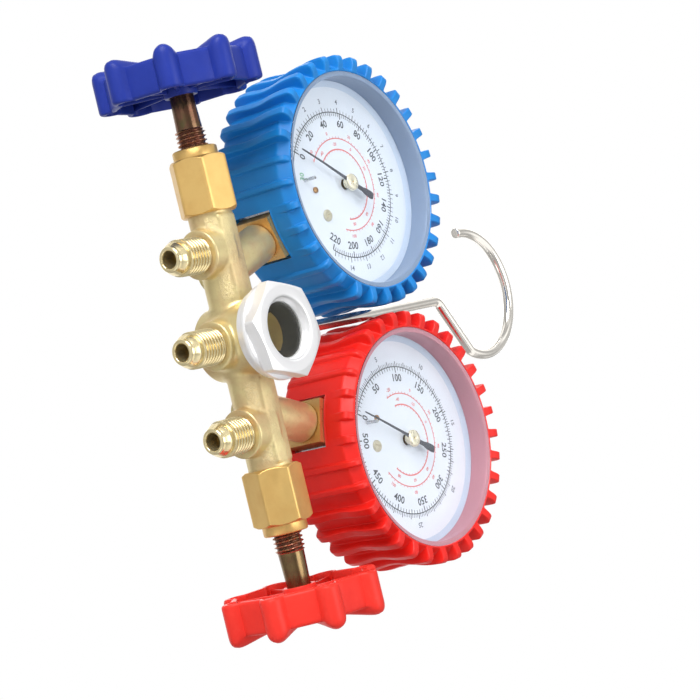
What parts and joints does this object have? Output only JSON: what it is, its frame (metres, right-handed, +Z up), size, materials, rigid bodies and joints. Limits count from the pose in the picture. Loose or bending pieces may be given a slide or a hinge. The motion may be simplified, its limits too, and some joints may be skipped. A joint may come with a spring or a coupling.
{
  "type": "refrigerant manifold gauge",
  "caption": "Two-valve refrigerant manifold with a low and a high pressure gauge in rubber boots, sight glass, flare hose ports, lobed handwheels and a hanging hook.",
  "frame": {"origin": "inside top of the hook's loop, where the set hangs", "axes": "+X along the manifold towards the high (red) side, +Y away from the viewer of the dials, +Z up the hook"},
  "size_m": [0.175, 0.0502, 0.1843],
  "materials": {
    "brass_cast": "forged, tumbled, pale",
    "brass_turned": "machined",
    "brass_bright": "stamped, bright",
    "steel_yellow": "yellow chromate plated",
    "steel_plated": "zinc plated",
    "nickel": "nickel plated, polished",
    "rubber_blue": "satin moulded rubber",
    "rubber_red": "satin moulded rubber",
    "plastic_blue": "moulded, satin gloss",
    "plastic_red": "moulded, satin gloss",
    "clear_lens": "clear polycarbonate",
    "sight_glass": "clear, thick",
    "rubber_black": "sealing rubber",
    "ptfe": "PTFE",
    "dial_white": "printed white enamel",
    "pointer_black": "black lacquer"
  },
  "bodies": {
    "manifold": {"manifold_body": "brass_cast", "sight_glass_nut": "nickel", "sight_glass": "sight_glass", "sight_glass_seal": "rubber_black", "hook_grub_screw": "steel_plated", "bonnet_low": "brass_turned", "boot_low": "rubber_blue", "gauge_case_low": "steel_plated", "lens_low": "clear_lens", "bourdon_tube_low": "brass_bright", "tube_tip_low": "brass_turned", "socket_low": "brass_turned", "case_screws_low": "steel_plated", "movement_front_plate_low": "brass_bright", "movement_back_plate_low": "brass_bright", "hairspring_low": "brass_bright", "dial_low": "dial_white", "dial_screws_low": "steel_plated", "stop_pin_low": "steel_plated", "bonnet_high": "brass_turned", "boot_high": "rubber_red", "gauge_case_high": "steel_plated", "lens_high": "clear_lens", "bourdon_tube_high": "brass_bright", "tube_tip_high": "brass_turned", "socket_high": "brass_turned", "case_screws_high": "steel_plated", "movement_front_plate_high": "brass_bright", "movement_back_plate_high": "brass_bright", "hairspring_high": "brass_bright", "dial_high": "dial_white", "dial_screws_high": "steel_plated", "stop_pin_high": "steel_plated"},
    "hook": {"hang_hook": "nickel"},
    "piston_low": {"valve_piston_low": "brass_turned", "seat_disc_low": "ptfe", "piston_oring_low": "rubber_black"},
    "spindle_low": {"spindle_low": "steel_yellow", "handwheel_low": "plastic_blue", "handwheel_screw_low": "steel_plated"},
    "pointer_low": {"arbor_low": "brass_bright", "pointer_low": "pointer_black"},
    "sector_low": {"sector_low": "brass_bright"},
    "link_low": {"link_low": "brass_bright"},
    "piston_high": {"valve_piston_high": "brass_turned", "seat_disc_high": "ptfe", "piston_oring_high": "rubber_black"},
    "spindle_high": {"spindle_high": "steel_yellow", "handwheel_high": "plastic_red", "handwheel_screw_high": "steel_plated"},
    "pointer_high": {"arbor_high": "brass_bright", "pointer_high": "pointer_black"},
    "sector_high": {"sector_high": "brass_bright"},
    "link_high": {"link_high": "brass_bright"}
  },
  "joints": [
    {"name": "hook_swivel", "type": "hinge", "parent": "manifold", "child": "hook", "pos_m": [0, 0, 0], "axis": [0, 0, 1], "continuous": true},
    {"name": "valve_lift_low", "type": "slide", "parent": "manifold", "child": "piston_low", "axis": [-1, 0, 0], "range_m": [0, 0.0045]},
    {"name": "handwheel_turn_low", "type": "hinge", "parent": "piston_low", "child": "spindle_low", "pos_m": [-0.0743, -0.005, -0.1543], "axis": [-1, 0, 0], "range_deg": [0, 1080]},
    {"name": "pointer_turn_low", "type": "hinge", "parent": "manifold", "child": "pointer_low", "pos_m": [-0.0418, -0.0182, -0.0923], "axis": [0, 1, 0], "range_deg": [-18.2, 273], "stiffness_Nm_per_rad": 0.0015},
    {"name": "sector_turn_low", "type": "hinge", "parent": "manifold", "child": "sector_low", "pos_m": [-0.03703, -0.0182, -0.10578], "axis": [0, 1, 0], "range_deg": [-27.5, 2]},
    {"name": "link_turn_low", "type": "hinge", "parent": "manifold", "child": "link_low", "pos_m": [-0.01629, -0.0182, -0.09844], "axis": [0, 1, 0], "range_deg": [-1, 12.6]},
    {"name": "valve_lift_high", "type": "slide", "parent": "manifold", "child": "piston_high", "axis": [1, 0, 0], "range_m": [0, 0.0045]},
    {"name": "handwheel_turn_high", "type": "hinge", "parent": "piston_high", "child": "spindle_high", "pos_m": [0.0743, -0.005, -0.1543], "axis": [1, 0, 0], "range_deg": [0, 1080]},
    {"name": "pointer_turn_high", "type": "hinge", "parent": "manifold", "child": "pointer_high", "pos_m": [0.0418, -0.0182, -0.0923], "axis": [0, 1, 0], "range_deg": [0, 339], "stiffness_Nm_per_rad": 0.0015},
    {"name": "sector_turn_high", "type": "hinge", "parent": "manifold", "child": "sector_high", "pos_m": [0.03703, -0.0182, -0.10578], "axis": [0, 1, 0], "range_deg": [-34.1, 0.2]},
    {"name": "link_turn_high", "type": "hinge", "parent": "manifold", "child": "link_high", "pos_m": [0.05776, -0.0182, -0.11312], "axis": [0, 1, 0], "range_deg": [-0.2, 15.6]}
  ],
  "couplings": [
    {"joint": "valve_lift_low", "follows": "handwheel_turn_low", "m_per_rad": 0.00023873},
    {"joint": "sector_turn_low", "follows": "pointer_turn_low", "ratio": -0.1},
    {"joint": "link_turn_low", "follows": "pointer_turn_low", "ratio": 0.0452},
    {"joint": "valve_lift_high", "follows": "handwheel_turn_high", "m_per_rad": 0.00023873},
    {"joint": "sector_turn_high", "follows": "pointer_turn_high", "ratio": -0.1},
    {"joint": "link_turn_high", "follows": "pointer_turn_high", "ratio": 0.0452}
  ]
}
